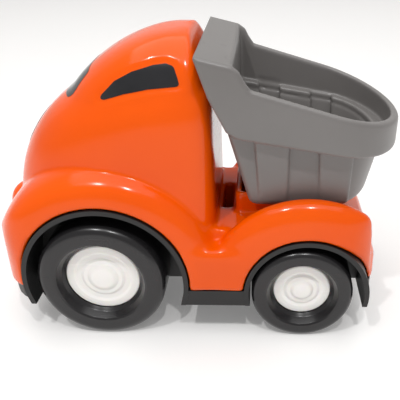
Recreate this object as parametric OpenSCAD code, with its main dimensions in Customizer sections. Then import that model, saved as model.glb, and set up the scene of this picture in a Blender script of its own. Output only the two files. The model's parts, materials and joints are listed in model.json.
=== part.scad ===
// Toy dump truck: a beetle-nosed cab over a flat base, four free wheels on two axles,
// and a tub bed that tips backwards on a cross pin.
// Millimetres. X runs from the nose to the tail, Y from the left side to the right,
// Z up. The origin is on the ground, in the middle of the length and of the width.

/* [Overall] */
// distance between the two axles
wheelbase = 64; // [53:0.5:77]
// width over the fenders
body_width = 64; // [53:0.5:77]
// roof top above the ground
cab_height = 93.4; // [78:0.5:112]
// nose to front axle
front_overhang = 36.5; // [34:0.5:44]
// rear axle to the tail of the bed
bed_overhang = 29.5; // [28:0.5:36]
// rear axle to the tail of the body
body_overhang = 24; // [23.5:0.25:26]

/* [Wheels] */
// front tire diameter
front_tire_d = 40.8; // [34:0.2:49]
// rear tire diameter
rear_tire_d = 32.6; // [27.2:0.2:39.2]
// width of every tire
tire_w = 15.5; // [13:0.5:17]
// rounding radius of the tire shoulders
shoulder_r = 2.8; // [2.25:0.25:3.5]
// tire side set in from the body side
tire_inset = 0.4; // [0:0.1:2]
// radial band of tire side around the hub opening, front
front_band = 6; // [5:0.1:7.2]
// radial band of tire side around the hub opening, rear
rear_band = 4.5; // [3.8:0.1:5.4]
// depth of the dish from the tire side to the hubcap face
dish_depth = 3.8; // [3:0.1:4.5]
// narrowing of the dish from its mouth to the hubcap
dish_taper = 2.4; // [1.5:0.1:2.8]
// axle diameter
axle_d = 3; // [2.5:0.1:3.6]

/* [Body] */
// wall thickness of the body shell
wall = 2.4; // [2:0.1:3]
// gap between front tire and wheel arch
front_arch_gap = 6.2; // [5:0.1:7.4]
// gap between rear tire and wheel arch
rear_arch_gap = 4; // [3.4:0.1:4.8]
// radial width of the front fender
front_fender = 10; // [8.4:0.1:12]
// radial width of the rear fender
rear_fender = 11.5; // [9.6:0.1:12.5]
// step from the body side in to the cab side
cab_step = 6.5; // [5.5:0.1:7.8]
// lower edge of the shell above the ground
skirt_z = 18; // [16:0.25:18.5]
// running board height
board_h = 14; // [12:0.25:16.5]
// front axle to the cab back wall
cab_back = 36; // [33:0.5:40]

/* [Base] */
// base plate thickness
base_t = 2.2; // [1.8:0.1:2.8]
// underside of the base above the ground
base_z = 12.4; // [11:0.2:13]
// thickness of the wheel well liners
liner_t = 1.5; // [1.2:0.1:1.8]

/* [Bed] */
// width of the bed over its rim
bed_width = 57.2; // [48:0.5:58]
// wall thickness of the bed
bed_wall = 2.6; // [2.2:0.1:3.1]
// height of the bed floor above its rest
bed_floor_t = 2.2; // [1.8:0.1:2.6]
// length of the shield over the cab end of the bed
shield_l = 10; // [8.5:0.25:12]
// largest tipping angle
tip_angle = 48; // [30:1:48]
// hinge pin diameter
pin_d = 2.6; // [2.2:0.1:3]

/* [Fits] */
// radial running clearance of axles and hinge pin
run_clear = 0.06; // [0.03:0.01:0.1]
// gap between separate pieces that don't touch
gap = 0.35; // [0.3:0.05:0.6]
// thickness of the window films and the badge
film_t = 0.25; // [0.2:0.05:0.4]
// screw thread diameter
screw_d = 2.6; // [2.2:0.1:3]

/* [Hidden] */

overall = front_overhang + wheelbase + bed_overhang;
nose_x = -overall / 2;
front_x = nose_x + front_overhang;
rear_x = front_x + wheelbase;
tail_x = rear_x + bed_overhang;
body_tail_x = rear_x + body_overhang;
half_w = body_width / 2;
front_r = front_tire_d / 2;
rear_r = rear_tire_d / 2;

front_arch_x = front_x + 1.6;
rear_arch_x = rear_x + 1.3;
front_arch_r = front_r + front_arch_gap;
rear_arch_r = rear_r + rear_arch_gap;
front_fender_r = front_arch_r + front_fender;
rear_fender_r = rear_arch_r + rear_fender;
well_y = half_w - tire_inset - tire_w - 2.4;

board_z = skirt_z + board_h;
cab_w = half_w - cab_step;
back_x = front_x + cab_back;
crest_z = rear_r + rear_fender_r;
deck_z = crest_z - 11.7;
rest_z = crest_z - 4.7;
step_in = cab_step + 1.6;

floor_z = rest_z + 0.1;
bed_half = bed_width / 2;
bed_front_x = back_x - 3.6;
rim_front_z = floor_z + 37.9;
rim_slope = 0.295;
bed_top_z = floor_z + 46.8;
collar_front_z = floor_z + 24.5;
collar_slope = 0.174;
round_l = 21.4;
collar_step = 2.6;
pin_z = deck_z + 4;
pin_x = rear_x + 10;
lug_r = pin_d / 2 + 2.1;
post_r = pin_d / 2 + 1.4;
lug_y = 6;
lug_w = 3.4;
pin_l = 30;
ear_y = lug_y + lug_w + gap;
ear_w = 3;
pedestal_x = back_x + 6.3;
pedestal_l = pin_x - 4.5 - pedestal_x;
pedestal_w = 13;
tiny = 0.02;

// ---- shapes -------------------------------------------------------------------

function total(v, i = 0) = i >= len(v) ? 0 : v[i] + total(v, i + 1);
function turn(r) = total([for (i = [0:len(r) - 1]) let (q = r[(i + 1) % len(r)])
  r[i][0] * q[1] - q[0] * r[i][1]]);
function reversed(v) = [for (i = [len(v) - 1:-1:0]) v[i]];

// skin of rings with the same number of points each, bottom ring first
module loft(raw) {
  rings = turn(raw[0]) > 0 ? raw : [for (r = raw) reversed(r)];
  n = len(rings[0]);
  m = len(rings);
  pts = [for (r = rings) for (p = r) p];
  sides = [for (k = [0:m - 2]) for (i = [0:n - 1]) let (j = (i + 1) % n)
    each [[k * n + i, (k + 1) * n + i, (k + 1) * n + j],
          [k * n + i, (k + 1) * n + j, k * n + j]]];
  low = [[for (i = [0:n - 1]) i]];
  high = [[for (i = [n - 1:-1:0]) (m - 1) * n + i]];
  polyhedron(points = pts, faces = concat(sides, low, high), convexity = 8);
}

// cab outline seen from above at one height: rounded nose, straight sides, soft back corners
function cab_ring(z, xf, xr, w, e = 2.3, steps = 7) =
  let (xm = xf + (xr - xf) * 0.66,
       c = min(3.2, w * 0.4, (xr - xf) * 0.3),
       nose = [for (i = [-steps:steps]) let (a = i * 90 / steps)
         [xm - (xm - xf) * pow(cos(a), 2 / e), sign(a) * w * pow(abs(sin(a)), 2 / e), z]],
       back = [for (s = [1, -1]) for (i = (s > 0 ? [0:2] : [2:-1:0]))
         [xr - c + c * sin(i * 45), s * (w - c + c * cos(i * 45)), z]])
  concat(nose, back);

cab_z0 = skirt_z + 6;
cab_span = cab_height - cab_z0;
cab_len = back_x - nose_x;

// grow > 0 swells the cab, grow < 0 shrinks it
function cab_level(f, grow) =
  let (z = cab_z0 + f * cab_span,
       fz = max(0, z - cab_z0 - 6) / (cab_span - 6),
       lean = pow(max(0, fz - 0.6) / 0.4, 1.6) * 7,
       xf = back_x - 8 - (cab_len - 10.6) * pow(1 - pow(fz, 1.62), 1 / 1.62),
       fw = max(0, z - cab_z0 - 16) / (cab_span - 16),
       w = cab_w * pow(1 - pow(fw, 3.3), 1 / 3.3))
  cab_ring(z + grow * f * f, xf - grow, back_x - lean + grow, w + grow);

module cab(grow = 0) {
  last = grow < 0 ? 0.985 : 0.9985;
  loft([for (i = [0:12]) cab_level(last * sin(i * 90 / 12), grow)]);
}

// wheel fender: ring around an arch centre, rounded over its outer edge
module fender(r_in, r_out, grow = 0) {
  ro = r_out + grow;
  yo = half_w + grow;
  rr = (r_out - r_in) * 0.72;
  yi = half_w - step_in - grow;
  ry = min(cab_step * 0.95, yo - yi - 0.2);
  prof = concat(
    [[r_in - 4, yi], [ro, yi]],
    [for (i = [0:5]) let (a = i * 90 / 5) [ro - rr + rr * cos(a), yo - ry + ry * sin(a)]],
    [[r_in - 4, yo]]);
  rotate([90, 0, 0]) for (s = [0, 1]) mirror([0, 0, s]) rotate_extrude($fn = 96) polygon(prof);
}

// body outline seen from above
function plan_side(grow) =
  let (a = 17, b = 12, h = half_w + grow,
       xf = nose_x + 3.8 - grow, xr = body_tail_x + grow)
  concat(
    [for (i = [0:8]) let (t = i * 90 / 8) [xf + a - a * cos(t), -h + 14 - 14 * sin(t)]],
    [for (i = [0:8]) let (t = 90 - i * 90 / 8) [xr - b + b * cos(t), -h + 14 - 14 * sin(t)]]);

module plan(grow = 0) {
  p = plan_side(grow);
  n = len(p);
  polygon(concat(p, [for (i = [n - 1:-1:0]) [p[i][0], -p[i][1]]]));
}

// middle of the lower body between the fenders, seen from the side
module spine(grow = 0) {
  w = half_w - step_in + 0.5 + grow;
  top = front_r + 17;
  rotate([90, 0, 0]) linear_extrude(height = 2 * w, center = true)
    polygon([
      [nose_x, skirt_z - 8], [nose_x, top - 4 + grow], [nose_x + 5, top + grow],
      [back_x - 4, top + grow], [back_x - 2, deck_z + grow],
      [pin_x + 1, deck_z + grow], [body_tail_x - 1, deck_z - 9 + grow],
      [body_tail_x + 5, skirt_z - 8]]);
}

// rounded snout on the middle of the nose
module snout(grow = 0) {
  r = 7 + grow;
  top = front_r + 14;
  translate([nose_x + 7, 0, skirt_z - 8]) cylinder(r = r, h = top - skirt_z + 8, $fn = 48);
  translate([nose_x + 7, 0, top]) sphere(r = r, $fn = 48);
}

// running board between the fenders
module board(grow = 0) {
  x0 = front_arch_x + front_arch_r - 6;
  x1 = rear_arch_x - rear_arch_r + 6;
  r = 3 + grow;
  h = half_w + grow;
  top = board_z + grow;
  side = concat(
    [[h - 9, skirt_z - 8], [h, skirt_z - 8]],
    [for (i = [0:5]) let (a = i * 90 / 5) [h - r + r * cos(a), top - r + r * sin(a)]],
    [[h - 9, top]]);
  for (s = [0, 1]) mirror([0, s, 0])
    translate([x0, 0, 0]) rotate([90, 0, 90]) linear_extrude(height = x1 - x0) polygon(side);
}

module lower_body(grow = 0) {
  intersection() {
    union() {
      translate([front_arch_x, 0, front_r]) fender(front_arch_r, front_fender_r, grow);
      translate([rear_arch_x, 0, rear_r]) fender(rear_arch_r, rear_fender_r, grow);
      spine(grow);
      board(grow);
    }
    translate([0, 0, skirt_z - 8]) linear_extrude(height = 90) plan(grow);
  }
}

// ---- frame --------------------------------------------------------------------

boss_d = screw_d + 3.4;
head_d = screw_d + 2.2;
head_t = 1.6;
board_mid = (front_arch_x + front_arch_r + rear_arch_x - rear_arch_r) / 2;
board_at = [for (s = [-1, 1]) [board_mid, s * (half_w - 7.5)]];
deck_at = [for (s = [-1, 1]) [pin_x + 8, s * 8]];
screw_at = concat(board_at, deck_at);

// wheel housing volume beyond the well wall
module wells(inset = 0) {
  w = half_w + 4 - well_y - inset;
  for (s = [-1, 1]) {
    translate([front_arch_x, s * (well_y + inset + w / 2), front_r]) rotate([90, 0, 0])
      cylinder(r = front_arch_r - inset, h = w, center = true, $fn = 96);
    translate([rear_arch_x, s * (well_y + inset + w / 2), rear_r]) rotate([90, 0, 0])
      cylinder(r = rear_arch_r - inset, h = w, center = true, $fn = 96);
  }
}

// moulded skin of the cab, fenders, running boards and deck, with its screw posts
module body_shell() color("darkorange") resize([0, 0, 0]) difference() {
  union() {
    difference() {
      union() {
        cab();
        lower_body();
        snout();
      }
      cab(-wall);
      lower_body(-wall);
      snout(-wall);
      translate([nose_x - 5, -body_width, -1]) cube([overall + 20, 2 * body_width, skirt_z + 1]);
      wells();
      translate([back_x + 1.6, -9, deck_z - 2 * wall]) cube([3.4, 18, 3 * wall]);
      translate([pin_x - lug_r - 1.2, -ear_y - ear_w - gap, deck_z - 2 * wall])
        cube([2 * lug_r + 2.4, 2 * (ear_y + ear_w + gap), 3 * wall]);
    }
    translate([pedestal_x, -pedestal_w, deck_z - wall / 2])
      cube([pedestal_l, 2 * pedestal_w, rest_z - deck_z + wall / 2]);
    for (p = board_at) translate([p[0], p[1], base_z + base_t])
      cylinder(d = boss_d, h = board_z - 1 - base_z - base_t, $fn = 24);
    for (p = deck_at) translate([p[0], p[1], base_z + base_t])
      cylinder(d = boss_d, h = deck_z - 9 - base_z - base_t, $fn = 24);
  }
  translate([pedestal_x + 2, -pedestal_w + 2, deck_z - 2 * wall])
    cube([pedestal_l - 4, 2 * pedestal_w - 4, 6 * wall]);
  for (p = screw_at)
    translate([p[0], p[1], base_z]) cylinder(d = screw_d + 0.1, h = 12, $fn = 24);
}

// flat outline of the base: the body outline less a little, notched at the wheels
module base_plate() {
  h = base_t;
  difference() {
    union() {
      translate([0, 0, base_z]) linear_extrude(height = h) plan(-1.2);
      difference() {
        translate([0, 0, base_z]) linear_extrude(height = skirt_z - base_z) plan(-0.6);
        translate([0, 0, base_z + h]) linear_extrude(height = 20) plan(-2.4);
      }
    }
    wells(gap + liner_t);
  }
}

module liner() {
  difference() {
    intersection() {
      wells(gap);
      translate([nose_x + 3, -half_w + 0.4, base_z]) cube([overall, body_width - 0.8, 60]);
    }
    wells(gap + liner_t);
    translate([nose_x, -body_width, -20]) cube([overall, 2 * body_width, 20 + base_z]);
  }
}

module bearings(x, z) {
  d = axle_d + 4.6;
  l = 7 + gap + liner_t / 2;
  for (s = [-1, 1]) translate([x, s * (well_y - 7 + l / 2), 0]) {
    translate([0, 0, z]) rotate([90, 0, 0]) cylinder(d = d, h = l, center = true, $fn = 48);
    translate([-d / 2, -l / 2, base_z + base_t / 2]) cube([d, l, z - base_z - base_t / 2]);
  }
}

// two posts that carry the hinge pin, rising through the deck
module hinge_posts() {
  for (s = [-1, 1]) translate([pin_x, s * (ear_y + ear_w / 2), 0]) {
    translate([0, 0, pin_z]) rotate([90, 0, 0]) cylinder(r = post_r, h = ear_w, center = true, $fn = 48);
    translate([-post_r, -ear_w / 2, base_z + base_t / 2])
      cube([2 * post_r, ear_w, pin_z - base_z - base_t / 2]);
  }
}

module chassis_base() color("dimgray") {
  difference() {
    union() {
      base_plate();
      liner();
      bearings(front_x, front_r);
      bearings(rear_x, rear_r);
      hinge_posts();
    }
    translate([pin_x, 0, pin_z]) rotate([90, 0, 0])
      cylinder(d = pin_d, h = 2 * pin_l, center = true, $fn = 64);
    for (a = [[front_x, front_r], [rear_x, rear_r]])
      translate([a[0], 0, a[1]]) rotate([90, 0, 0])
        cylinder(d = axle_d + 2 * run_clear, h = body_width, center = true, $fn = 64);
    for (p = screw_at) translate([p[0], p[1], base_z - 1]) {
      cylinder(d = screw_d + 0.3, h = 10, $fn = 32);
      cylinder(d = head_d + 0.3, h = 1 + head_t - 0.6, $fn = 32);
    }
  }
}

module chassis_screws() color("silver") {
  for (p = screw_at) translate([p[0], p[1], base_z - 0.6 - tiny]) {
    cylinder(d = head_d, h = head_t - 0.6, $fn = 32);
    cylinder(d = screw_d - 0.04, h = 11, $fn = 32);
  }
}

// ---- bed ----------------------------------------------------------------------

// bed outline from above: square at the cab end, half an ellipse at the tail
function tub_outline(x0, w, xr, a, c = 2.5) = concat(
  [[x0 + c, w], [x0 + 0.3 * c, w - 0.3 * c], [x0, w - c], [x0, c - w],
   [x0 + 0.3 * c, 0.3 * c - w], [x0 + c, -w]],
  [for (i = [-12:12]) let (t = i * 90 / 12) [xr - a + a * cos(t), w * sin(t)]]);

function tub_ring(x0, w, xr, a, z, slope, xz) =
  [for (p = tub_outline(x0, w, xr, a)) [p[0], p[1], z - slope * (p[0] - xz)]];

rim_mid_x = bed_front_x + shield_l + 5.2;
cut_x = [bed_front_x + 9.2, bed_front_x + 16];
bucket_top = collar_front_z + 1.4;
hollow_rise = 1;

// side view of the collar and its shield
module collar_side(d = 0) {
  polygon([
    [bed_front_x + d, bed_top_z - d],
    [bed_front_x + shield_l + d * 0.4, bed_top_z - 2.4 - d],
    [bed_front_x + shield_l + 2.2, bed_top_z - 4 - d],
    [rim_mid_x, rim_front_z - d],
    [tail_x + 1, rim_front_z - rim_slope * (tail_x + 1 - rim_mid_x) - d],
    [tail_x + 1, collar_front_z - collar_slope * (tail_x + 1 - cut_x[0])],
    [cut_x[0] + 2, collar_front_z - collar_slope * 2],
    [cut_x[0] - 0.8, collar_front_z + 1.6],
    [bed_front_x + 3.6, bed_top_z - 11]]);
}

module collar_plan(inset = 0) {
  polygon(tub_outline(bed_front_x + (inset > 0 ? shield_l : -1), bed_half - inset, tail_x - inset, round_l - inset, 1));
}

module bucket(inset = 0, lift = 0) {
  top_x = cut_x[0] - 0.4 + inset;
  bot_x = top_x + 6;
  zt = bucket_top + collar_slope + (inset > 0 ? hollow_rise : 0);
  loft([
    tub_ring(bot_x, bed_half - 6.6 - inset, tail_x - 8.5 - inset, round_l - 8 - inset, floor_z + lift, 0, 0),
    tub_ring(top_x, bed_half - collar_step - 0.6 - inset, tail_x - 3.4 - inset, round_l - 6 - inset,
             zt, collar_slope, cut_x[0])]);
}

// raised panels on the bucket sides, hollow from inside
module pads(inset = 0) {
  n = 2;
  x0 = cut_x[0] + 6.6;
  pitch = (tail_x - 9 - x0) / n;
  len_top = pitch * 0.55;
  for (s = [-1, 1]) for (k = [0:n - 1]) {
    xt = x0 + k * pitch + inset;
    l = len_top - 2 * inset;
    yt = bed_half - collar_step + 0.5 - inset;
    yb = bed_half - 6.2 - inset;
    zb = floor_z + (inset > 0 ? bed_floor_t : 0);
    zt = bucket_top - collar_slope * (xt - cut_x[0]) + (inset > 0 ? hollow_rise : 0);
    loft([
      [[xt + 2.2, s * (yb - 8), zb], [xt + 2.2, s * yb, zb], [xt + l - 0.6, s * yb, zb], [xt + l - 0.6, s * (yb - 8), zb]],
      [[xt, s * (yt - 8), zt], [xt, s * yt, zt], [xt + l, s * yt, zt - collar_slope * l], [xt + l, s * (yt - 8), zt - collar_slope * l]]]);
  }
}

module bed_lugs() {
  for (s = [-1, 1]) translate([pin_x, s * (lug_y + lug_w / 2), 0]) {
    translate([0, 0, pin_z]) rotate([90, 0, 0]) cylinder(r = lug_r, h = lug_w, center = true, $fn = 48);
    translate([-lug_r, -lug_w / 2, pin_z]) cube([2 * lug_r, lug_w, floor_z - pin_z + 1]);
  }
}

module dump_bed() color("gray") {
  difference() {
    union() {
      intersection() {
        rotate([90, 0, 0]) linear_extrude(height = bed_width + 4, center = true) collar_side();
        linear_extrude(height = 200) collar_plan();
      }
      bucket();
      pads();
    }
    intersection() {
      translate([0, 0, collar_front_z - collar_slope * (tail_x - cut_x[0]) - 4]) linear_extrude(height = 200) collar_plan(bed_wall);
      rotate([90, 0, 0]) linear_extrude(height = bed_width + 4, center = true)
        polygon([
          [cut_x[1] - bed_wall - 4.5, bed_top_z + 20], [tail_x + 9, bed_top_z + 20],
          [tail_x + 9, bucket_top + 0.6 - collar_slope * (tail_x + 9 - cut_x[0])],
          [cut_x[1] - bed_wall - 1.5, bucket_top + 0.6 - collar_slope * 6]]);
    }
    bucket(bed_wall, bed_floor_t);
    pads(bed_wall);
    // hollow under the shield
    translate([0, -bed_half + bed_wall, 0]) rotate([90, 0, 0]) mirror([0, 0, 1])
      linear_extrude(height = bed_width - 2 * bed_wall)
      polygon([
        [bed_front_x - 6, bed_top_z - bed_wall - 1],
        [bed_front_x + shield_l - 3.2, bed_top_z - bed_wall - 1.8],
        [cut_x[0] + 1.3, collar_front_z + 3], [cut_x[0] - 6, collar_front_z - 4]]);
    translate([pin_x, 0, pin_z]) rotate([90, 0, 0])
      cylinder(r = pin_d / 2 + run_clear, h = pin_l, center = true, $fn = 64);
  }
  difference() {
    bed_lugs();
    translate([pin_x, 0, pin_z]) rotate([90, 0, 0])
      cylinder(r = pin_d / 2 + run_clear, h = pin_l, center = true, $fn = 64);
  }
}

module bed_hinge_pin() color("silver") {
  l = 2 * (ear_y + ear_w) + 1;
  translate([pin_x, 0, pin_z]) rotate([90, 0, 0]) cylinder(d = pin_d, h = l, center = true, $fn = 64);
}

// ---- wheels -------------------------------------------------------------------

side_y = half_w - tire_inset;
face_y = side_y - dish_depth;
cap_t = 2;
web_t = 3;
stem_d = axle_d + 4.4;
axle_half = face_y - 1.2;

// wheel tire: shoulders rounded, dished outside, web and bore inside
module tire(r, band) {
  mouth = r - band;
  cap_r = mouth - dish_taper;
  k = shoulder_r;
  prof = concat(
    [[stem_d / 2, face_y - cap_t - web_t], [stem_d / 2, face_y - cap_t], [cap_r, face_y - cap_t],
     [cap_r, face_y], [cap_r + 0.7, face_y + 1.2], [mouth - 0.5, side_y - 0.6], [mouth + 0.2, side_y]],
    [for (i = [0:6]) let (a = 90 - i * 90 / 6)
      [r - 0.12 - k + k * cos(a), side_y - k + k * sin(a)]],
    [[r, side_y - tire_w * 0.5]],
    [for (i = [0:6]) let (a = -i * 90 / 6)
      [r - 0.12 - k + k * cos(a), side_y - tire_w + k + k * sin(a)]],
    [[mouth, side_y - tire_w], [mouth - 1.4, face_y - cap_t - web_t]]);
  rotate([90, 0, 0]) rotate_extrude($fn = 96) polygon(prof);
}

module hubcap(r, band) {
  cap_r = r - band - dish_taper;
  dome = cap_r * 0.48;
  prof = [
    [0, face_y - cap_t], [cap_r, face_y - cap_t], [cap_r, face_y - 0.5], [cap_r - 0.5, face_y],
    [cap_r - 2.2, face_y - 0.1], [cap_r - 3.4, face_y - 0.5], [dome + 0.9, face_y - 0.5],
    [dome, face_y - 0.2], [dome * 0.72, face_y + 0.65], [dome * 0.35, face_y + 1], [0, face_y + 1.1]];
  rotate([90, 0, 0]) difference() {
    union() {
      rotate_extrude($fn = 96) polygon(prof);
      translate([0, 0, face_y - cap_t - web_t - 2]) cylinder(d = stem_d, h = web_t + 3, $fn = 64);
    }
    translate([0, 0, face_y - cap_t - web_t - 3]) cylinder(d = axle_d, h = axle_half - face_y + cap_t + web_t + 3, $fn = 64);
  }
}

module at(x, z, right) {
  translate([x, 0, z]) mirror([0, right ? 1 : 0, 0]) children();
}

module front_tire_left() color("black") at(front_x, front_r, false) tire(front_r, front_band);
module front_tire_right() color("black") at(front_x, front_r, true) tire(front_r, front_band);
module rear_tire_left() color("black") at(rear_x, rear_r, false) tire(rear_r, rear_band);
module rear_tire_right() color("black") at(rear_x, rear_r, true) tire(rear_r, rear_band);
module front_hubcap_left() color("white") at(front_x, front_r, false) hubcap(front_r, front_band);
module front_hubcap_right() color("white") at(front_x, front_r, true) hubcap(front_r, front_band);
module rear_hubcap_left() color("white") at(rear_x, rear_r, false) hubcap(rear_r, rear_band);
module rear_hubcap_right() color("white") at(rear_x, rear_r, true) hubcap(rear_r, rear_band);

module axle(x, z) {
  translate([x, 0, z]) rotate([90, 0, 0]) cylinder(d = axle_d, h = 2 * axle_half, center = true, $fn = 64);
}
module front_axle() color("silver") axle(front_x, front_r);
module rear_axle() color("silver") axle(rear_x, rear_r);

// ---- films --------------------------------------------------------------------

glass_z = cab_height - 14.4;

// thin skin on the cab wherever the child shape meets it
module film() {
  resize([0, 0, 0]) intersection() {
    difference() {
      cab(film_t);
      cab();
    }
    children();
  }
}

module side_window(s) {
  x0 = back_x - 30;
  x1 = back_x - 8.6;
  film() translate([0, s > 0 ? 4 : -cab_w - 4, 0]) rotate([90, 0, 0]) mirror([0, 0, 1]) linear_extrude(height = cab_w)
    polygon([
      [x0, glass_z], [x0 + 0.3, glass_z + 1.2], [x0 + 4.6, glass_z + 5], [x0 + 11, glass_z + 7.6],
      [x1 - 5, glass_z + 9.1], [x1 - 2.4, glass_z + 9], [x1 - 1.4, glass_z + 8], [x1, glass_z + 4],
      [x1 - 0.8, glass_z + 3], [x0 + 13, glass_z + 2.2], [x0 + 6, glass_z + 0.9], [x0 + 1, glass_z - 0.4]]);
}
module window_left() color("dimgray") side_window(-1);
module window_right() color("dimgray") side_window(1);

module windshield() color("dimgray") film() {
  w = cab_w * 0.52;
  rotate([90, 0, 90]) translate([0, 0, nose_x]) linear_extrude(height = cab_len * 0.66)
    polygon([
      [-w, glass_z - 2], [-w + 1.6, glass_z - 3.6], [-w * 0.5, glass_z - 4.6], [w * 0.5, glass_z - 4.6],
      [w - 1.6, glass_z - 3.6], [w, glass_z - 2], [w * 0.9, glass_z + 4.6], [w * 0.8, glass_z + 6],
      [w * 0.4, glass_z + 7], [-w * 0.4, glass_z + 7], [-w * 0.8, glass_z + 6], [-w * 0.9, glass_z + 4.6]]);
}

module hood_badge() color("white") film() {
  translate([nose_x, 0, glass_z - 17]) rotate([0, 90, 0]) cylinder(r = 6.5, h = cab_len * 0.5, $fn = 48);
}

body_shell();
chassis_base();
dump_bed();
bed_hinge_pin();
front_axle();
rear_axle();
front_tire_left();
front_tire_right();
rear_tire_left();
rear_tire_right();
front_hubcap_left();
front_hubcap_right();
rear_hubcap_left();
rear_hubcap_right();
window_left();
window_right();
windshield();
hood_badge();
chassis_screws();
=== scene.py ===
"""Toy dump truck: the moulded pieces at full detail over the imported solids.

Lengths are millimetres inside the shape functions and metres in the scene.
"""
import json
import logging
import math
from dataclasses import dataclass, field
from enum import Enum
from typing import Callable, Dict, List, Optional, Sequence, Tuple

import bmesh
import bpy
import numpy as np
from mathutils import Matrix, Vector

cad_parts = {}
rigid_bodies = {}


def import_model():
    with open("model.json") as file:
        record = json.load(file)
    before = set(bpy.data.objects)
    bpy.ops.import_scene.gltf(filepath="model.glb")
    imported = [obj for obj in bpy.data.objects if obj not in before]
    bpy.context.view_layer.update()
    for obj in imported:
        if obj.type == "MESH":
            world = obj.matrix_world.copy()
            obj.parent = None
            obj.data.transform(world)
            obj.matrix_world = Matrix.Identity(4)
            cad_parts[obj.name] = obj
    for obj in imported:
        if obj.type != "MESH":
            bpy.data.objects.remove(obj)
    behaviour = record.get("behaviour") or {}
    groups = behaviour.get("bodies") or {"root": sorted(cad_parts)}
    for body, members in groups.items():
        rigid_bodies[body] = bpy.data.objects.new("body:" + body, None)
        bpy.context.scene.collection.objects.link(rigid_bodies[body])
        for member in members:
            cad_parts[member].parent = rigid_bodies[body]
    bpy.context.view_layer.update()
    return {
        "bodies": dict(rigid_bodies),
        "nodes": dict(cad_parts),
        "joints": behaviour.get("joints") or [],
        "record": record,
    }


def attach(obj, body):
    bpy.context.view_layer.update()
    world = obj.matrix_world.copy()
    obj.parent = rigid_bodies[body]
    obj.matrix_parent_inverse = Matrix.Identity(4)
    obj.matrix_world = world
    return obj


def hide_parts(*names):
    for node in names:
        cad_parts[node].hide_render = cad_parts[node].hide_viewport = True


log = logging.getLogger("dump_truck")
Field = Callable[[np.ndarray, np.ndarray, np.ndarray], np.ndarray]
MM = 0.001


# ---- sizes of the truck, in millimetres --------------------------------------------------------

NOSE, TAIL = -65.0, 65.0
FRONT_X, REAR_X = -28.5, 35.5
FRONT_R, REAR_R = 20.4, 16.3
HALF_W = 32.0
FRONT_ARCH_X, REAR_ARCH_X = FRONT_X + 1.6, REAR_X + 1.3
FRONT_ARCH_R, REAR_ARCH_R = FRONT_R + 6.2, REAR_R + 4.0
SKIRT_Z = 18.0
BACK_X = 7.5
DECK_Z = 36.4
REST_Z = 43.4
BED_Z = 43.5
BED_HALF = 28.6
BED_WALL = 2.6
PIN_X = 45.5
ROOF_Z = 93.2
SIDE_Y = 31.6
FACE_Y = SIDE_Y - 3.8


class Body(str, Enum):
    """Moving groups of the truck."""

    TRUCK = "truck_body"
    BED = "tipping_bed"
    FRONT = "front_wheels"
    REAR = "rear_wheels"


# ---- shape functions ---------------------------------------------------------------------------

def smax(a: np.ndarray, b: np.ndarray, k: float) -> np.ndarray:
    """Rounded intersection of two distance fields.

    Args:
        a: First field.
        b: Second field.
        k: Rounding width in millimetres.

    Returns:
        The joined field.
    """
    h = np.clip(0.5 + 0.5 * (a - b) / k, 0.0, 1.0)
    return b + (a - b) * h + k * h * (1.0 - h)


def smin(a: np.ndarray, b: np.ndarray, k: float) -> np.ndarray:
    """Rounded union of two distance fields, as smax with the sense turned round."""
    return -smax(-a, -b, k)


def ramp(x: np.ndarray, lo: float, hi: float) -> np.ndarray:
    """Smooth step from 0 at lo to 1 at hi."""
    t = np.clip((x - lo) / (hi - lo), 0.0, 1.0)
    return t * t * (3.0 - 2.0 * t)


def box2(u: np.ndarray, v: np.ndarray, hu: float, hv: float, r: float) -> np.ndarray:
    """Distance to a centred rectangle with rounded corners.

    Args:
        u: First coordinate.
        v: Second coordinate.
        hu: Half size along u.
        hv: Half size along v.
        r: Corner radius.

    Returns:
        Signed distance, negative inside.
    """
    a = np.abs(u) - (hu - r)
    b = np.abs(v) - (hv - r)
    return np.hypot(np.maximum(a, 0), np.maximum(b, 0)) + np.minimum(np.maximum(a, b), 0) - r


def polygon2(u: np.ndarray, v: np.ndarray, pts: Sequence[Tuple[float, float]]) -> np.ndarray:
    """Signed distance to a closed polygon, negative inside."""
    best = np.full(np.broadcast(u, v).shape, 1e18)
    inside = np.zeros(best.shape, bool)
    for (x0, y0), (x1, y1) in zip(pts, list(pts[1:]) + [pts[0]]):
        ex, ey = x1 - x0, y1 - y0
        t = np.clip(((u - x0) * ex + (v - y0) * ey) / (ex * ex + ey * ey), 0, 1)
        best = np.minimum(best, (u - x0 - t * ex) ** 2 + (v - y0 - t * ey) ** 2)
        if y0 != y1:
            cross = ((y0 > v) != (y1 > v)) & (u < ex * (v - y0) / ey + x0)
            inside ^= cross
    return np.where(inside, -1.0, 1.0) * np.sqrt(best)


def closing(t: np.ndarray, n: float) -> np.ndarray:
    """Superellipse partner of t: 1 at t = 0, falling to almost 0 at t = 1."""
    return np.power(np.maximum(1.0 - np.power(np.clip(t, 0, 1), n), 1e-4), 1.0 / n)


def belt(x: np.ndarray) -> np.ndarray:
    """Height of the shoulder under the side windows."""
    return 80.0 - 3.2 * np.clip(-x / 22.0, 0, 1)


def as_distance(f: Field, h: float = 0.05) -> Field:
    """Field whose value near the surface is a length, from any smooth field."""

    def scaled(x: np.ndarray, y: np.ndarray, z: np.ndarray) -> np.ndarray:
        c = f(x, y, z)
        gx = (f(x + h, y, z) - c) / h
        gy = (f(x, y + h, z) - c) / h
        gz = (f(x, y, z + h) - c) / h
        return c / np.maximum(np.sqrt(gx * gx + gy * gy + gz * gz), 0.004)

    return scaled


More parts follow.
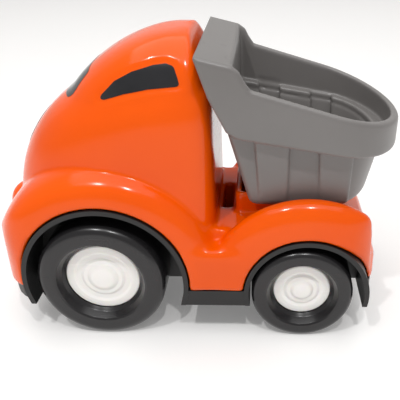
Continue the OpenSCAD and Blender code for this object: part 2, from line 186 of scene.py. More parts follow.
def _dome(x, y, z, xf, xr, w, e):
    """Plan section with a rounded nose at xf and a squarer back at xr, half width w."""
    xm = xf + (xr - xf) * 0.62
    ahead = np.maximum(xm - x, 0) / np.maximum(xm - xf, 0.3)
    behind = np.maximum(x - xm, 0) / np.maximum(xr - xm, 0.3)
    side = np.abs(y) / np.maximum(w, 0.3)
    front = (ahead ** e + side ** e) ** (1 / e)
    back = (behind ** 9 + side ** 9) ** (1 / 9)
    return np.where(x < xm, front, back) - 1.0


def _bonnet(x, y, z):
    """Lower cab: bonnet and doors up to the belt line."""
    f = (z - 30) / 52.5
    xf = -8 - 51.2 * closing(f, 2.2)
    w = 25.6 * closing((z - 40) / (belt(x) - 40), 8.0)
    return _dome(x, y, z, xf, BACK_X + 0.0 * z, w, 2.35)


def _greenhouse(x, y, z):
    """Upper cab: windows and roof."""
    xf = -1.0 - 41.5 * closing((z - 60) / 33.2, 1.8)
    lean = 6.4 * np.clip((z - 72) / 21.0, 0, 1) ** 1.5
    w = 23.9 * closing((z - 62) / 31.3, 2.9)
    return _dome(x, y, z, xf, BACK_X - lean, w, 2.5)


SIDE_GLASS = [(-23.6, 76.6), (-23.3, 77.6), (-19.0, 81.6), (-13.8, 84.2), (-7.8, 85.9), (-4.2, 86.3),
              (-2.0, 85.6), (-1.0, 83.0), (-0.4, 80.9), (-1.4, 80.5), (-9.4, 79.8), (-16.4, 78.4),
              (-22.4, 76.5)]


def body_field(x: np.ndarray, y: np.ndarray, z: np.ndarray) -> np.ndarray:
    """Orange body: cab, fenders, running boards and deck in one moulding."""
    ay = np.abs(y)
    doors = smax(as_distance(_bonnet)(x, y, z), z - belt(x) + 0.3, 2.0)
    cab = smin(doors, as_distance(_greenhouse)(x, y, z), 1.3)
    dent = 1.0 - ramp(polygon2(x, z, SIDE_GLASS), 0.2, 1.7)
    cab = cab + 0.45 * dent * (ay > 8)
    cab = smax(smax(cab, 20.0 - z, 0.5), z - ROOF_Z, 1.6)

    def front(x, y, z):
        rho = np.hypot(x - FRONT_ARCH_X, z - FRONT_R)
        out = np.maximum(rho - 14, 0) / 23.6
        return ((np.abs(y) / 32.0) ** 5.2 + out ** 5.2) ** (1 / 5.2) - 1

    def rear(x, y, z):
        rho = np.hypot(x - REAR_ARCH_X, z - REAR_R)
        u = np.abs(y) - 26.0
        u = np.where(u > 0, u / 6.0, -u / 2.9)
        return (u ** 2.2 + (np.maximum(rho - 19.0, 0) / 12.9) ** 2.2) ** (1 / 2.2) - 1

    lower = smin(as_distance(front)(x, y, z), as_distance(rear)(x, y, z), 1.5)
    top = np.where(x < 46.5, DECK_Z, DECK_Z - (x - 46.5) * 0.75)
    top = np.where(x < -2, 37.4, top)
    spine = smax(ay - 24.0, z - top, 2.0)
    board = smax(box2(ay - 23.5, z - 20.0, 8.5, 12.4, 3.2), np.abs(x - 8) - 20, 0.5)
    lower = smin(lower, spine, 2.5)
    lower = smin(lower, board, 2.0)
    mid = (NOSE + 3.8 + 59.4) / 2
    lean = (z - 30.0) * 0.045
    plan = box2(x - mid + np.where(x < 0, -lean * 0.6, lean * 0.5), y, 60.35, HALF_W, 15.0)
    bow = ((ay / 32.0) ** 2) * 1.6
    plan = plan + np.where(x > 30, bow * ramp(x, 30, 58), 0) * 0.35
    lower = smax(lower, plan, 2.2)
    body = smin(cab, lower, 0.7)
    nose = np.hypot(np.hypot(x - (NOSE + 7), y), np.maximum(z - (FRONT_R + 14), 0)) - 6.9
    body = smin(body, nose, 1.4)
    # rest under the bed, open in the middle
    rim = smax(box2(x - 27.4, y, 13.6, 13.0, 2.0), z - REST_Z, 0.8)
    body = smin(body, smax(rim, 30 - z, 0.5), 1.2)
    hole = smax(box2(x - 27.4, y, 11.6, 11.0, 1.2), 22.0 - z, 0.5)
    slot = smax(box2(x - 10.8, y, 1.7, 9.0, 1.0), 22.0 - z, 0.5)
    hinge = smax(box2(x - PIN_X, y, 4.6, 13.1, 1.0), 22.0 - z, 0.5)
    for cut in (hole, slot, hinge):
        body = smax(body, -cut, 0.7)
    # wheel arches and lower edge
    for cx, cz, r in ((FRONT_ARCH_X, FRONT_R, FRONT_ARCH_R), (REAR_ARCH_X, REAR_R, REAR_ARCH_R)):
        arch = smax(np.hypot(x - cx, z - cz) - r, 13.75 - ay, 0.3)
        body = smax(body, -arch, 1.0)
    return smax(body, SKIRT_Z - z, 0.9)


SHIELD_HOLLOW = [(-6, 86.9), (8.4, 86.0), (11.0, 84.0), (11.9, 78), (11.6, 71.0), (5, 62), (-6, 62)]
COLLAR_SLOPE = 0.174
COLLAR_SIDE = [(3.9, 90.3), (13.9, 87.9), (16.1, 86.3), (17.4, 83.8), (19.1, 81.4), (66, 67.6), (66, 58.8),
               (15.1, 67.65), (12.3, 69.6), (7.5, 79.3)]


def _tub(x, y, x0, w, tail, a, r=2.5):
    """Plan of the bed: square at the cab end, half an ellipse at the tail."""
    xc = tail - a
    ellipse = lambda x, y, z: np.sqrt((np.maximum(x - xc, 0) / a) ** 2 + (y / w) ** 2) - 1
    d = as_distance(ellipse)(x, y, 0)
    return smax(d, x0 - x, r)


def bed_field(x: np.ndarray, y: np.ndarray, z: np.ndarray) -> np.ndarray:
    """Grey bed: collar with its shield, tapered bucket and the raised panels."""
    ay = np.abs(y)
    side = polygon2(x, z, COLLAR_SIDE)
    collar = smax(side, _tub(x, y, 2.0, BED_HALF, TAIL - 0.15, 21.3, 1.0), 1.3)
    up = (z - BED_Z) / 23.5
    x0 = 18.7 - 6.0 * up
    w = 22.0 + 3.5 * up
    tail = 56.5 + 5.1 * up
    bucket = _tub(x, y, x0, w, tail, 13.4 + 2 * up, 2.6)
    low = z - (68.0 - COLLAR_SLOPE * (x - 13.1))
    bucket = smax(smax(bucket, BED_Z - z, 2.6), low, 0.5)
    d = smin(collar, bucket, 0.9)
    pads_in = np.full(d.shape, 1e3)
    for xs, xe in ((20.2, 30.2), (38.4, 48.6)):
        mid, half = (xs + xe) / 2 + 0.7 * (1 - up), (xe - xs) / 2 - 0.7 * (1 - up)
        reach = 22.4 + 4.7 * up - np.maximum(mid - 42, 0) * 0.05
        pad = smax(smax(np.abs(x - mid) - half, ay - reach, 0.8), low, 0.4)
        pad = smax(smax(pad, BED_Z + 0.6 - z, 2.4), 12 - ay, 0.5)
        d = smin(d, pad, 0.5)
        inner = smax(np.abs(x - mid + 0.5) - half + 1.3, ay - reach + 1.4, 0.6)
        pads_in = np.minimum(pads_in, smax(inner, 12 - ay, 0.5))
    # hollow: wide above the ledge, tapered below it
    ledge = 70.0 - COLLAR_SLOPE * (x - 13.1) - z
    wide = smax(_tub(x, y, 14.4, BED_HALF - BED_WALL, TAIL - 0.15 - BED_WALL, 18.7, 1.5), ledge, 0.8)
    deep = _tub(x, y, x0 + 2.6, w - 2.5, tail - 2.5, 11 + 2 * up, 2.0)
    deep = smin(deep, pads_in, 0.5)
    deep = smax(smax(deep, BED_Z + 2.2 - z, 1.4), -ledge - 1.2, 0.3)
    hollow = smin(wide, deep, 0.6)
    d = smax(d, -hollow, 1.1)
    # open underside of the shield
    under = polygon2(x, z, SHIELD_HOLLOW)
    under = smax(under, ay - (BED_HALF - BED_WALL), 0.8)
    return smax(d, -under, 0.9)


# ---- meshing -----------------------------------------------------------------------------------

def surface(f: Field, lo: Sequence[float], hi: Sequence[float], step: float, polish: int = 4):
    """Quad skin of the zero level of a field.

    Args:
        f: Distance-like field in millimetres.
        lo: Lowest corner of the search box.
        hi: Highest corner of the search box.
        step: Grid spacing.
        polish: Rounds of moving the vertices onto the exact surface.

    Returns:
        Vertices as an array in millimetres, and faces as an array of quads.
    """
    axes = [np.arange(a, b + step, step) for a, b in zip(lo, hi)]
    nx, ny, nz = (len(a) for a in axes)
    val = np.empty((nx, ny, nz))
    yy, zz = np.meshgrid(axes[1], axes[2], indexing="ij")
    for i in range(0, nx, 24):
        xs = axes[0][i:i + 24][:, None, None]
        val[i:i + 24] = f(xs + 0 * yy[None], yy[None] + 0 * xs, zz[None] + 0 * xs)
    neg = val < 0
    total = np.zeros((nx - 1, ny - 1, nz - 1, 3))
    count = np.zeros((nx - 1, ny - 1, nz - 1))
    base = np.stack(np.meshgrid(*[a[:-1] for a in axes], indexing="ij"), axis=-1)
    corner = [(i, j, k) for i in (0, 1) for j in (0, 1) for k in (0, 1)]
    for a in corner:
        for b in corner:
            if sum(b) != sum(a) + 1 or any(q < p for p, q in zip(a, b)):
                continue
            va = val[a[0]:nx - 1 + a[0], a[1]:ny - 1 + a[1], a[2]:nz - 1 + a[2]]
            vb = val[b[0]:nx - 1 + b[0], b[1]:ny - 1 + b[1], b[2]:nz - 1 + b[2]]
            hit = (va < 0) != (vb < 0)
            t = np.where(hit, va / np.where(hit, va - vb, 1), 0)
            for c in range(3):
                total[..., c] += np.where(hit, a[c] + t * (b[c] - a[c]), 0)
            count += hit
    live = count > 0
    index = np.full(live.shape, -1)
    index[live] = np.arange(live.sum())
    verts = base[live] + step * total[live] / count[live][:, None]
    quads = []
    for axis in range(3):
        u, v = [(1, 2), (2, 0), (0, 1)][axis]
        first = [slice(1, None)] * 3
        first[axis] = slice(0, None)
        core = [slice(1, n - 1) for n in (nx, ny, nz)]
        core[axis] = slice(0, (nx, ny, nz)[axis] - 1)
        a = neg[tuple(core)]
        nxt = list(core)
        nxt[axis] = slice(1, (nx, ny, nz)[axis])
        b = neg[tuple(nxt)]
        where = np.argwhere(a != b)
        flip = a[tuple(where.T)]
        where[:, u] += 1
        where[:, v] += 1
        ids = []
        for du, dv in ((-1, -1), (0, -1), (0, 0), (-1, 0)):
            w = where.copy()
            w[:, u] += du
            w[:, v] += dv
            ids.append(index[tuple(w.T)])
        q = np.stack(ids, axis=1)
        quads.append(np.where(flip[:, None], q, q[:, ::-1]))
    faces = np.concatenate(quads)
    h = 0.04
    for _ in range(polish):
        x, y, z = verts.T
        c = f(x, y, z)
        g = np.stack([f(x + h, y, z) - f(x - h, y, z), f(x, y + h, z) - f(x, y - h, z),
                      f(x, y, z + h) - f(x, y, z - h)], axis=1) / (2 * h)
        n2 = np.maximum((g * g).sum(1), 0.05)
        move = -(c / n2)[:, None] * g
        length = np.linalg.norm(move, axis=1, keepdims=True)
        verts = verts + move * np.minimum(1, 0.4 * step / np.maximum(length, 1e-9))
    return verts, faces


def mesh_object(name: str, verts: np.ndarray, faces: np.ndarray) -> bpy.types.Object:
    """Object with a smooth-shaded mesh from millimetre vertices."""
    me = bpy.data.meshes.new(name)
    me.from_pydata((verts * MM).tolist(), [], [[int(i) for i in f] for f in faces])
    me.validate()
    me.update()
    obj = bpy.data.objects.new(name, me)
    bpy.context.scene.collection.objects.link(obj)
    for p in me.polygons:
        p.use_smooth = True
    return obj


def activate(obj: bpy.types.Object) -> None:
    """Selects one object and makes it active."""
    bpy.ops.object.select_all(action="DESELECT")
    obj.select_set(True)
    bpy.context.view_layer.objects.active = obj


def lathe(name: str, profile: Sequence[Tuple[float, float]], centre: Tuple[float, float], side: int,
          steps: int = 128) -> bpy.types.Object:
    """Turned piece about a wheel axis.

    Args:
        name: Object name.
        profile: Points (radius, distance out from the middle) in millimetres.
        centre: Axle position (x, z).
        side: -1 for the left wheel, 1 for the right.
        steps: Points round the circle.

    Returns:
        The finished object.
    """
    n = len(profile)
    verts, faces = [], []
    for s in range(steps):
        a = 2 * math.pi * s / steps
        for r, out in profile:
            verts.append((centre[0] + r * math.cos(a), side * out, centre[1] + r * math.sin(a)))
    for s in range(steps):
        t = (s + 1) % steps
        for i in range(n):
            j = (i + 1) % n
            quad = (s * n + i, t * n + i, t * n + j, s * n + j)
            faces.append(quad if side > 0 else quad[::-1])
    obj = mesh_object(name, np.array(verts), np.array(faces))
    activate(obj)
    bpy.ops.object.mode_set(mode="EDIT")
    bpy.ops.mesh.select_all(action="SELECT")
    bpy.ops.mesh.remove_doubles(threshold=1e-6)
    bpy.ops.mesh.normals_make_consistent(inside=False)
    bpy.ops.object.mode_set(mode="OBJECT")
    bpy.ops.object.shade_smooth_by_angle(angle=math.radians(40))
    return obj


def rounded(points: Sequence[Tuple[float, float, float]], steps: int = 6) -> List[Tuple[float, float]]:
    """Closed polyline with each corner replaced by a circular arc.

    Args:
        points: (u, v, corner radius) in order.
        steps: Segments in each arc.

    Returns:
        Points of the rounded outline.
    """
    out = []
    n = len(points)
    for i, (x, y, r) in enumerate(points):
        p = Vector((x, y))
        a = Vector(points[i - 1][:2]) - p
        b = Vector(points[(i + 1) % n][:2]) - p
        if r <= 0 or a.length < 1e-9 or b.length < 1e-9:
            out.append((x, y))
            continue
        half = a.angle(b) / 2
        cut = min(r / math.tan(half), 0.49 * a.length, 0.49 * b.length)
        r = cut * math.tan(half)
        a.normalize()
        b.normalize()
        mid = (a + b).normalized() * (r / math.sin(half)) + p
        p0, p1 = p + a * cut - mid, p + b * cut - mid
        turn = p0.angle_signed(p1)
        for k in range(steps + 1):
            t = -turn * k / steps
            out.append((mid.x + p0.x * math.cos(t) - p0.y * math.sin(t),
                        mid.y + p0.x * math.sin(t) + p0.y * math.cos(t)))
    return out


# ---- finishes ----------------------------------------------------------------------------------

@dataclass(frozen=True)
class Plastic:
    """Moulded plastic finish.

    Attributes:
        name: Material name.
        colour: Linear base colour.
        shade: Linear colour of the soft mottling.
        rough: Roughness of the clean surface.
        worn: Extra roughness inside scuffs.
        coat: Clear gloss on top.
        grain: Strength of the fine surface texture.
        grain_scale: Fineness of that texture.
        glow: Light passing under the surface.
        shine: Strength of the mirror-like reflection.
    """

    name: str
    colour: Tuple[float, float, float]
    shade: Tuple[float, float, float]
    rough: float = 0.2
    worn: float = 0.15
    coat: float = 0.0
    grain: float = 0.02
    grain_scale: float = 900.0
    glow: float = 0.0
    shine: float = 0.5

    def build(self) -> bpy.types.Material:
        """Makes the node material.

        Returns:
            The material.
        """
        mat = bpy.data.materials.new(self.name)
        mat.use_nodes = True
        t = mat.node_tree
        bsdf = t.nodes["Principled BSDF"]
        add = t.nodes.new
        link = t.links.new
        where = add("ShaderNodeTexCoord")
        cloud = add("ShaderNodeTexNoise")
        cloud.inputs["Scale"].default_value = 38.0
        cloud.inputs["Detail"].default_value = 4.0
        link(where.outputs["Object"], cloud.inputs["Vector"])
        tint = add("ShaderNodeMixRGB")
        tint.inputs["Color1"].default_value = (*self.colour, 1)
        tint.inputs["Color2"].default_value = (*self.shade, 1)
        fade = add("ShaderNodeMapRange")
        fade.inputs["From Min"].default_value = 0.4
        fade.inputs["From Max"].default_value = 0.75
        link(cloud.outputs["Fac"], fade.inputs["Value"])
        link(fade.outputs["Result"], tint.inputs["Fac"])
        link(tint.outputs["Color"], bsdf.inputs["Base Color"])
        # hairline scratches, longer one way than the other
        stretch = add("ShaderNodeMapping")
        stretch.inputs["Scale"].default_value = (60, 60, 900)
        stretch.inputs["Rotation"].default_value = (0.5, 0.9, 0.3)
        link(where.outputs["Object"], stretch.inputs["Vector"])
        hair = add("ShaderNodeTexNoise")
        hair.inputs["Scale"].default_value = 1.0
        hair.inputs["Detail"].default_value = 3.0
        link(stretch.outputs["Vector"], hair.inputs["Vector"])
        scuff = add("ShaderNodeMapRange")
        scuff.inputs["From Min"].default_value = 0.62
        scuff.inputs["From Max"].default_value = 0.8
        scuff.inputs["To Min"].default_value = self.rough
        scuff.inputs["To Max"].default_value = self.rough + self.worn
        link(hair.outputs["Fac"], scuff.inputs["Value"])
        link(scuff.outputs["Result"], bsdf.inputs["Roughness"])
        skin = add("ShaderNodeTexNoise")
        skin.inputs["Scale"].default_value = self.grain_scale
        skin.inputs["Detail"].default_value = 2.0
        link(where.outputs["Object"], skin.inputs["Vector"])
        bump = add("ShaderNodeBump")
        bump.inputs["Strength"].default_value = self.grain
        bump.inputs["Distance"].default_value = 0.0002
        link(skin.outputs["Fac"], bump.inputs["Height"])
        link(bump.outputs["Normal"], bsdf.inputs["Normal"])
        bsdf.inputs["IOR"].default_value = 1.5
        bsdf.inputs["Specular IOR Level"].default_value = self.shine
        bsdf.inputs["Coat Weight"].default_value = self.coat
        bsdf.inputs["Coat Roughness"].default_value = 0.05
        if self.glow:
            bsdf.inputs["Subsurface Weight"].default_value = self.glow
            bsdf.inputs["Subsurface Radius"].default_value = (1.0, 0.35, 0.12)
            bsdf.inputs["Subsurface Scale"].default_value = 0.0015
        return mat


ORANGE = Plastic("orange_plastic", (0.88, 0.098, 0.0), (0.84, 0.088, 0.0), 0.15, 0.08,
                 0.0, 0.02, 420.0, 0.0, 0.3)
GREY = Plastic("grey_plastic", (0.185, 0.174, 0.168), (0.168, 0.158, 0.152), 0.36, 0.14, 0.0, 0.05, 1500.0)
BLACK = Plastic("black_plastic", (0.009, 0.0088, 0.009), (0.006, 0.006, 0.006), 0.45, 0.15, 0.0, 0.05, 1200.0)
TIRE = Plastic("tire_plastic", (0.016, 0.015, 0.016), (0.012, 0.011, 0.012), 0.24, 0.08, 0.0, 0.015, 900.0)
WHITE = Plastic("white_plastic", (0.97, 0.945, 0.91), (0.94, 0.915, 0.88), 0.25, 0.12, 0.1, 0.02, 700.0, 0.1)
GLASS = Plastic("dark_film", (0.012, 0.012, 0.014), (0.03, 0.03, 0.033), 0.12, 0.1, 0.0, 0.08, 300.0)
BADGE = Plastic("badge_film", (0.8, 0.79, 0.76), (0.76, 0.75, 0.72), 0.2, 0.1, 0.2, 0.02, 700.0)
RED = Plastic("badge_edge", (0.16, 0.01, 0.012), (0.12, 0.008, 0.01), 0.25, 0.1, 0.1, 0.02, 700.0)
STEEL_COLOUR = (0.55, 0.55, 0.56)


def steel() -> bpy.types.Material:
    """Drawn steel rod and screw finish."""
    mat = Plastic("steel", STEEL_COLOUR, (0.45, 0.45, 0.46), 0.28, 0.15, 0.0, 0.05, 1500.0).build()
    mat.node_tree.nodes["Principled BSDF"].inputs["Metallic"].default_value = 1.0
    return mat


def paint(obj: bpy.types.Object, *mats: bpy.types.Material) -> None:
    """Gives a piece its finishes, replacing any it has."""
    obj.data.materials.clear()
    for m in mats:
        obj.data.materials.append(m)


# ---- pieces ------------------------------------------------------------------------------------

@dataclass
class Piece:
    """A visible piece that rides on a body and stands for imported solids."""

    name: str
    body: Body
    stands_for: Tuple[str, ...]
    slot: str
    obj: Optional[bpy.types.Object] = None

    def dress(self, *mats: bpy.types.Material) -> None:
        """Gives the piece its finish and ties it to its body.

        Args:
            mats: Finishes, first the main one.
        """
        paint(self.obj, *mats)
        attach(self.obj, self.body.value)
        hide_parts(*self.stands_for)


@dataclass
class Moulding(Piece):
    """Piece meshed from a distance field."""

    shape: Field = body_field
    low: Tuple[float, float, float] = (0, 0, 0)
    high: Tuple[float, float, float] = (1, 1, 1)
    step: float = 0.9

    def build(self) -> "Moulding":
        """Meshes the field. Returns the piece."""
        room = 3 * self.step
        low, high = [c - room for c in self.low], [c + room for c in self.high]
        verts, faces = surface(self.shape, low, high, self.step)
        verts = np.clip(verts, self.low, self.high)
        self.obj = mesh_object(self.name, verts, faces)
        log.info("%s: %d faces", self.name, len(faces))
        return self


@dataclass
class Wheel:
    """Tire and hubcap of one wheel."""

    end: str
    side: int
    centre: Tuple[float, float]
    radius: float
    band: float
    body: Body
    tire: Optional[Piece] = None
    cap: Optional[Piece] = None

    def build(self) -> "Wheel":
        """Turns both pieces. Returns the wheel."""
        word = "left" if self.side < 0 else "right"
        r, mouth = self.radius, self.radius - self.band
        cap_r = mouth - 2.4
        out = SIDE_Y
        inner = out - 15.5
        tire = rounded([
            (3.8, FACE_Y - 5.0, 0.3), (3.8, FACE_Y - 2.0, 0), (cap_r - 0.1, FACE_Y - 2.0, 0),
            (cap_r, FACE_Y + 0.25, 0.2), (cap_r + 0.9, FACE_Y + 1.2, 0.9), (mouth - 0.35, out - 0.35, 0.35),
            (mouth + 0.25, out, 0.3), (r - 0.1, out, 2.9), (r, out - 7.7, 0), (r - 0.1, inner, 2.9),
            (mouth, inner, 0.4), (mouth - 1.4, FACE_Y - 5.0, 0.5)])
        dome = cap_r * 0.49
        cap = rounded([
            (0.001, FACE_Y - 2.2, 0), (cap_r - 0.15, FACE_Y - 2.2, 0), (cap_r - 0.15, FACE_Y + 0.1, 0.55),
            (cap_r - 2.6, FACE_Y + 0.1, 0.8), (cap_r - 3.4, FACE_Y - 0.35, 0.6),
            (dome + 1.2, FACE_Y - 0.35, 0.7), (dome + 0.3, FACE_Y + 0.1, 0.7),
            (dome - 0.9, FACE_Y + 0.1, 0.6),
            (dome * 0.62, FACE_Y + 0.85, 2.6), (0.001, FACE_Y + 1.05, 0)])
        self.tire = Piece(f"tire_{self.end}_{word}", self.body, (f"{self.end}_tire_{word}",), "tire")
        self.tire.obj = lathe(self.tire.name, tire, self.centre, self.side)
        self.cap = Piece(f"hubcap_{self.end}_{word}", self.body, (f"{self.end}_hubcap_{word}",), "hubcap")
        self.cap.obj = lathe(self.cap.name, cap, self.centre, self.side)
        return self

    def dress(self, tire: bpy.types.Material, cap: bpy.types.Material) -> None:
        """Finishes both pieces."""
        self.tire.dress(tire)
        self.cap.dress(cap)


@dataclass
class Film(Piece):
    """Thin film lying on the cab skin.

    Attributes:
        outline: Closed outline in the plane that the film is cut from.
        axis: "y" for a side window, "x" for the front.
        side: Which way the film faces on that axis.
        edge: Width of a differently coloured border, 0 for none.
    """

    outline: Tuple[Tuple[float, float], ...] = ()
    axis: str = "y"
    side: int = -1
    edge: float = 0.0
    lift: float = 0.12

    def build(self) -> "Film":
        """Cuts the outline and presses it onto the cab. Returns the piece."""
        pts = np.array(self.outline)
        lo, hi = pts.min(0) - 0.5, pts.max(0) + 0.5
        step = 0.35
        us, vs = np.arange(lo[0], hi[0], step), np.arange(lo[1], hi[1], step)
        bm = bmesh.new()
        loop = [bm.verts.new((u, v, 0)) for u, v in self.outline]
        bm.faces.new(loop)
        for axis, cuts in ((0, us), (1, vs)):
            normal = (1, 0, 0) if axis == 0 else (0, 1, 0)
            for c in cuts:
                co = (c, 0, 0) if axis == 0 else (0, c, 0)
                geom = bm.verts[:] + bm.edges[:] + bm.faces[:]
                bmesh.ops.bisect_plane(bm, geom=geom, plane_co=co, plane_no=normal)
        bm.verts.index_update()
        flat = np.array([v.co[:2] for v in bm.verts])
        u, v = flat.T
        outer = np.full(len(u), 70.0 if self.axis == "x" else 40.0)
        inner = outer.copy()
        found = np.zeros(len(u), bool)
        while not found.all() and inner.min() > -5:
            inner = np.where(found, inner, inner - 0.5)
            found |= self._skin(*self._place(u, v, inner)) < 0
        outer = inner + 0.5
        for _ in range(12):
            mid = (outer + inner) / 2
            hit = self._skin(*self._place(u, v, mid)) < 0
            inner, outer = np.where(hit, mid, inner), np.where(hit, outer, mid)
        depth = outer
        x, y, z = self._place(u, v, depth + self.lift)
        for vert, p in zip(bm.verts, np.stack([x, y, z], axis=1)):
            vert.co = p * MM
        bmesh.ops.recalc_face_normals(bm, faces=bm.faces[:])
        me = bpy.data.meshes.new(self.name)
        bm.to_mesh(me)
        bm.free()
        out = -1.0 if self.axis == "x" else float(self.side)
        k = 0 if self.axis == "x" else 1
        if sum(p.normal[k] * p.area for p in me.polygons) * out < 0:
            me.flip_normals()
        for p in me.polygons:
            p.use_smooth = True
        if self.edge:
            for p in me.polygons:
                c = p.center / MM
                uv = (c.y, c.z) if self.axis == "x" else (c.x, c.z)
                d = float(polygon2(np.array([uv[0]]), np.array([uv[1]]), self.outline)[0])
                p.material_index = 1 if d > -self.edge else 0
        self.obj = bpy.data.objects.new(self.name, me)
        bpy.context.scene.collection.objects.link(self.obj)
        return self

    def _place(self, u, v, depth):
        """Outline point at that height above the film's cutting plane."""
        if self.axis == "x":
            return -depth, u, v
        return u, self.side * depth, v

    @staticmethod
    def _skin(x, y, z):
        """Distance out from the body skin."""
        return body_field(x, y, z)


# ---- scene -------------------------------------------------------------------------------------

@dataclass
class Studio:
    """Camera, lights and floor."""

    eye: Tuple[float, float, float] = (22.8, -177.0, 126.8)
    yaw: float = 1.14
    pitch: float = 31.28
    roll: float = -0.13
    focal: float = 570.3
    shift: Tuple[float, float] = (-0.133, 0.092)
    lights: List[bpy.types.Object] = field(default_factory=list)

    def build(self) -> "Studio":
        """Sets up the view. Returns the studio."""
        cam = bpy.data.cameras.new("view")
        cam.sensor_width = 36.0
        cam.sensor_fit = "HORIZONTAL"
        cam.lens = self.focal / 400 * 36
        cam.shift_x, cam.shift_y = self.shift
        cam.clip_start = 0.005
        obj = bpy.data.objects.new("view", cam)
        bpy.context.scene.collection.objects.link(obj)
        y, p, r = (math.radians(a) for a in (self.yaw, self.pitch, self.roll))
        fwd = Vector((-math.sin(y) * math.cos(p), math.cos(y) * math.cos(p), -math.sin(p)))
        right = Vector((math.cos(y), math.sin(y), 0))
        up = right.cross(fwd)
        right, up = right * math.cos(r) + up * math.sin(r), up * math.cos(r) - right * math.sin(r)
        rot = Matrix((right, up, -fwd)).transposed()
        obj.matrix_world = Matrix.Translation(Vector(self.eye) * MM) @ rot.to_4x4()
        bpy.context.scene.camera = obj
        self._floor()
        self._world()
        self._lamp("overhead", (0.0, 0.05, 0.9), 1.2, 6.4, (0, 0, 0))
        self._lamp("ceiling_a", (-0.16, -0.3, 0.62), 0.022, 1.0, (-0.03, 0, 0.04))
        self._lamp("ceiling_b", (0.1, -0.34, 0.64), 0.022, 1.0, (0.0, 0, 0.04))
        return self

    def _lamp(self, name, at, size, power, aim) -> None:
        """Adds a soft square lamp."""
        data = bpy.data.lights.new(name, "AREA")
        data.size = size
        data.energy = power
        obj = bpy.data.objects.new(name, data)
        bpy.context.scene.collection.objects.link(obj)
        obj.location = at
        obj.rotation_euler = (Vector(aim) - Vector(at)).to_track_quat("-Z", "Y").to_euler()
        self.lights.append(obj)

    def _world(self) -> None:
        """Even pale surroundings."""
        world = bpy.data.worlds.new("room")
        bpy.context.scene.world = world
        world.use_nodes = True
        bg = world.node_tree.nodes["Background"]
        bg.inputs["Color"].default_value = (1.0, 0.99, 0.98, 1)
        bg.inputs["Strength"].default_value = 0.4
        bpy.context.scene.view_settings.view_transform = "Standard"

    def _floor(self) -> None:
        """Pale floor that curves up far behind."""
        verts, faces = [], []
        rows = [(-3.0, 0.0), (1.2, 0.0), (1.6, 0.06), (1.9, 0.25), (2.0, 0.6), (2.0, 3.0)]
        for y, z in rows:
            verts += [(-4.0, y, z), (4.0, y, z)]
        for i in range(len(rows) - 1):
            faces.append((2 * i, 2 * i + 1, 2 * i + 3, 2 * i + 2))
        me = bpy.data.meshes.new("floor")
        me.from_pydata(verts, [], faces)
        obj = bpy.data.objects.new("floor", me)
        bpy.context.scene.collection.objects.link(obj)
        mat = bpy.data.materials.new("floor")
        mat.use_nodes = True
        bsdf = mat.node_tree.nodes["Principled BSDF"]
        bsdf.inputs["Base Color"].default_value = (0.86, 0.85, 0.84, 1)
        bsdf.inputs["Roughness"].default_value = 0.45
        bsdf.inputs["Emission Color"].default_value = (1, 0.995, 0.99, 1)
        bsdf.inputs["Emission Strength"].default_value = 0.16
        paint(obj, mat)


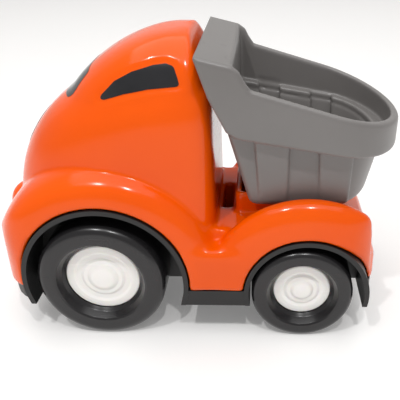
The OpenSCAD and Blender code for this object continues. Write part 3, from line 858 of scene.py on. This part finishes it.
@dataclass
class Truck:
    """The whole toy."""

    frame: dict
    pieces: List[Piece] = field(default_factory=list)
    wheels: List[Wheel] = field(default_factory=list)

    def build(self) -> "Truck":
        """Makes every new piece. Returns the truck."""
        self.pieces.append(Moulding("body_moulding", Body.TRUCK, ("body_shell",), "shell", None,
                                    body_field, (-65.0, -32.0, 14.6), (59.5, 32.0, 93.3), 0.85).build())
        self.pieces.append(Moulding("bed_moulding", Body.BED, ("dump_bed",), "bed", None,
                                    self._bed, (3.9, -28.6, 38.4), (65.0, 28.6, 90.3), 0.62).build())
        for side in (-1, 1):
            self.wheels.append(Wheel("front", side, (FRONT_X, FRONT_R), FRONT_R, 6.0, Body.FRONT).build())
            self.wheels.append(Wheel("rear", side, (REAR_X, REAR_R), REAR_R, 4.5, Body.REAR).build())
        inset = tuple(self._shrunk(SIDE_GLASS, 0.1))
        for side, word in ((-1, "left"), (1, "right")):
            self.pieces.append(Film(f"side_film_{word}", Body.TRUCK, (f"window_{word}",), "film", None,
                                    inset, "y", side).build())
        front = rounded([(-14.0, 74.6, 1.6), (14.0, 74.6, 1.6), (11.6, 82.0, 2.2), (0, 83.6, 9),
                         (-11.6, 82.0, 2.2)])
        self.pieces.append(Film("front_film", Body.TRUCK, ("windshield",), "film", None,
                                tuple(front), "x", -1, 0.7).build())
        turns = np.linspace(0, 2 * math.pi, 49)[:-1]
        ring = tuple((6.3 * math.cos(a), 62.0 + 6.3 * math.sin(a)) for a in turns)
        self.pieces.append(Film("nose_badge", Body.TRUCK, ("hood_badge",), "badge", None,
                                ring, "x", -1, 0.8).build())
        return self

    @staticmethod
    def _bed(x, y, z):
        """Bed with its two hinge lugs."""
        d = bed_field(x, y, z)
        u = np.hypot(x - PIN_X, np.minimum(z - (DECK_Z + 4), 0))
        lug = smax(u - 3.35, np.abs(np.abs(y) - 7.7) - 1.7, 0.4)
        lug = smax(lug, z - 46.0, 0.3)
        return smin(d, lug, 0.5)

    @staticmethod
    def _shrunk(pts, by):
        """Outline rounded at its corners, drawn in a little towards the middle."""
        soft = rounded([(u, v, 1.4) for u, v in pts], 4)
        c = np.mean(np.array(soft), axis=0)
        return [tuple(c + (np.array(p) - c) * (1 - by / 6)) for p in soft]

    def dress(self) -> None:
        """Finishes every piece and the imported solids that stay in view."""
        made: Dict[str, bpy.types.Material] = {
            f.name: f.build() for f in (ORANGE, GREY, BLACK, TIRE, WHITE, GLASS, BADGE, RED)}
        made["steel"] = steel()
        look = {"shell": ("orange_plastic",), "bed": ("grey_plastic",), "film": ("dark_film", "badge_film"),
                "badge": ("badge_film", "badge_edge")}
        for piece in self.pieces:
            piece.dress(*[made[n] for n in look[piece.slot]])
        for wheel in self.wheels:
            wheel.dress(made["tire_plastic"], made["white_plastic"])
        kept = {"chassis_base": "black_plastic", "chassis_screws": "steel", "bed_hinge_pin": "steel",
                "front_axle": "steel", "rear_axle": "steel"}
        for node, name in kept.items():
            paint(self.frame["nodes"][node], made[name])


def main() -> None:
    """Builds the scene."""
    logging.basicConfig(level=logging.INFO)
    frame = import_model()
    truck = Truck(frame).build()
    truck.dress()
    Studio().build()


if __name__ == "__main__":
    main()
